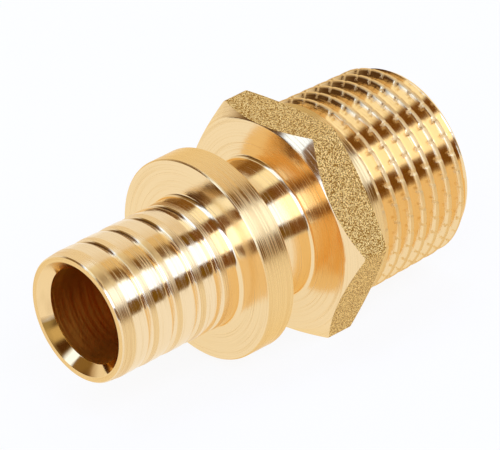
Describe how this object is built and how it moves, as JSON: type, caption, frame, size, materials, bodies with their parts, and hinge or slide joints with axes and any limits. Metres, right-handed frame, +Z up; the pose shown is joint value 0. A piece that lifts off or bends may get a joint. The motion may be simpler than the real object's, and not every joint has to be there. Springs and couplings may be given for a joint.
{
  "type": "pipe adapter",
  "caption": "Brass adapter from a ribbed press nozzle for plastic pipe to a male taper pipe thread, with a collar, a neck and a hexagon.",
  "frame": {"origin": "on the bore axis, in the plane where the collar's front face leaves the nozzle, which is where the pipe stops", "axes": "+X along the bore towards the thread end, +Z up and square to one flat of the hexagon, with the opposite flat down"},
  "size_m": [0.0446, 0.0262, 0.0228],
  "materials": {
    "brass": "bright turned brass, with rough as-forged flats on the hexagon"
  },
  "bodies": {
    "root": {"adapter_body": "brass"}
  },
  "joints": []
}
